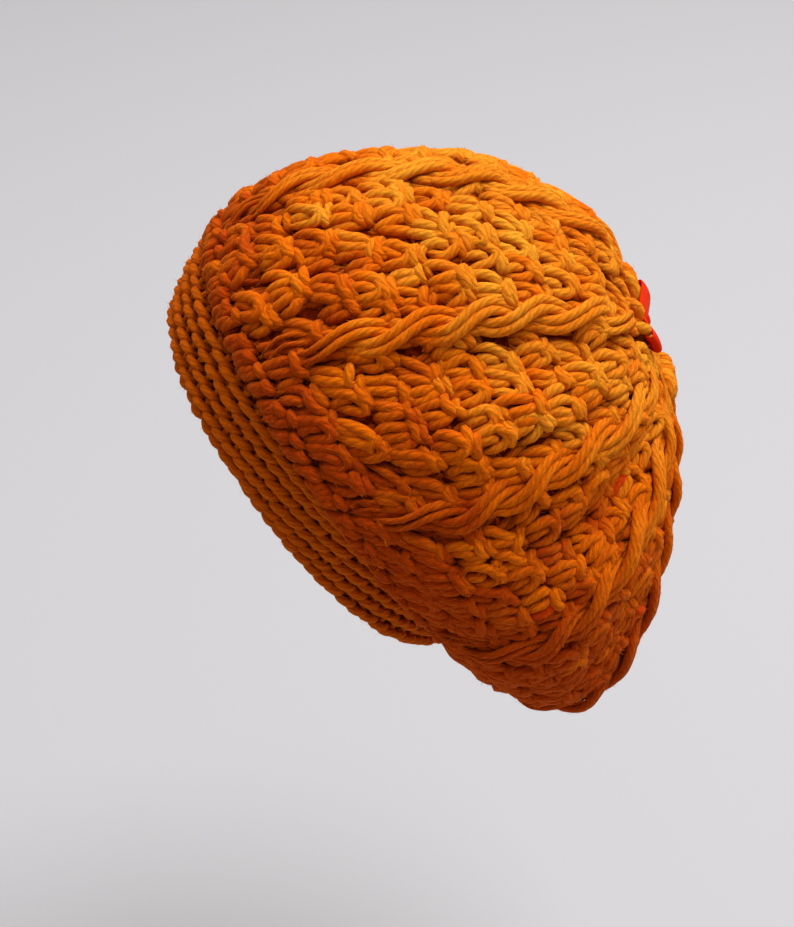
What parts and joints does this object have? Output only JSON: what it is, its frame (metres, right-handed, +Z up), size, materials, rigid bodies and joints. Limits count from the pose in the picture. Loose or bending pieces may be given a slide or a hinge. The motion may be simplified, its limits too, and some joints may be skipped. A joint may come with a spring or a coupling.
{
  "type": "crochet slouchy hat",
  "caption": "Soft crocheted hat with a ridged brim band, twisted cables over a hollow slouching body gathered at the crown, and a small ribbon bow.",
  "frame": {"origin": "where the inside of the hat sits on the top of the head, in the middle plane", "axes": "+Z up as worn, -Y towards the forehead edge, +X towards the wearer's left"},
  "size_m": [0.234, 0.2423, 0.2852],
  "materials": {
    "wool_brim": "matte wool yarn, deep orange",
    "wool_body": "matte wool yarn, variegated orange",
    "wool_cable": "matte wool yarn, variegated orange",
    "satin_ribbon": "satin ribbon, red orange"
  },
  "bodies": {
    "root": {"brim_band": "wool_brim", "slouch_body": "wool_body", "cable_1": "wool_cable", "cable_2": "wool_cable", "cable_3": "wool_cable", "cable_4": "wool_cable", "cable_5": "wool_cable", "cable_6": "wool_cable", "cable_7": "wool_cable", "cable_8": "wool_cable", "cable_9": "wool_cable", "cable_10": "wool_cable", "bow_loop_left": "satin_ribbon", "bow_loop_right": "satin_ribbon", "bow_knot": "satin_ribbon"}
  },
  "joints": []
}
